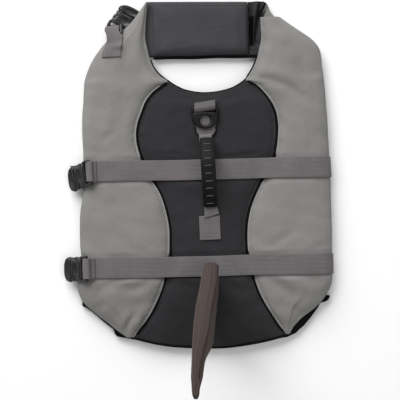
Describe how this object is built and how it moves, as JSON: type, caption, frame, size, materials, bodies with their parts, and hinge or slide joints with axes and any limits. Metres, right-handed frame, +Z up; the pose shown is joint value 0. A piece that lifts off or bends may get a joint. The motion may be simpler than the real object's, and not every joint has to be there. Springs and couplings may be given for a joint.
{
  "type": "dog life jacket",
  "caption": "Dog life jacket lying flat: padded back and side panels, chin float, foam fin, lead ring, carry handle and webbing belts with side-release buckles.",
  "frame": {"origin": "on the flat underside of the belly panel, on the centre line, midway between the two belts", "axes": "+Y along the centre line to the neck, +X to the edge away from the buckles, +Z up from the floor it lies on"},
  "size_m": [0.3307, 0.4706, 0.1293],
  "materials": {
    "grey_cloth": "light grey woven polyester",
    "dark_cloth": "charcoal woven polyester",
    "black_trim": "black binding and lining",
    "webbing": "grey polypropylene webbing",
    "black_plastic": "moulded black, satin",
    "pad_cloth": "mid grey woven polyester",
    "fin_cloth": "brown-grey woven polyester"
  },
  "bodies": {
    "jacket": {"back_panel": "dark_cloth", "side_left": "grey_cloth", "side_right": "grey_cloth", "belly_panel": "black_trim", "chest_flap_left": "grey_cloth", "chest_flap_right": "grey_cloth", "chin_pad": "pad_cloth", "chin_wing": "dark_cloth", "piping_left": "black_trim", "piping_right": "black_trim", "neck_binding": "black_trim", "hem_binding": "black_trim", "fold_binding": "black_trim", "chest_belt": "webbing", "belly_belt": "webbing", "chest_buckle_socket": "black_plastic", "chest_buckle_plug": "black_plastic", "belly_buckle_socket": "black_plastic", "belly_buckle_plug": "black_plastic", "neck_buckle_socket": "black_plastic", "neck_buckle_plug": "black_plastic", "neck_tab": "webbing", "neck_strap": "webbing", "ring_tab": "webbing", "handle_front": "webbing", "handle_grip": "black_plastic", "handle_patch": "webbing", "fin": "fin_cloth"},
    "d_ring": {"d_ring": "black_plastic"}
  },
  "joints": [
    {"name": "ring_swing", "type": "hinge", "parent": "jacket", "child": "d_ring", "pos_m": [-0.0016, 0.1332, 0.0272], "axis": [-1, 0, 0], "range_deg": [0, 135]}
  ]
}
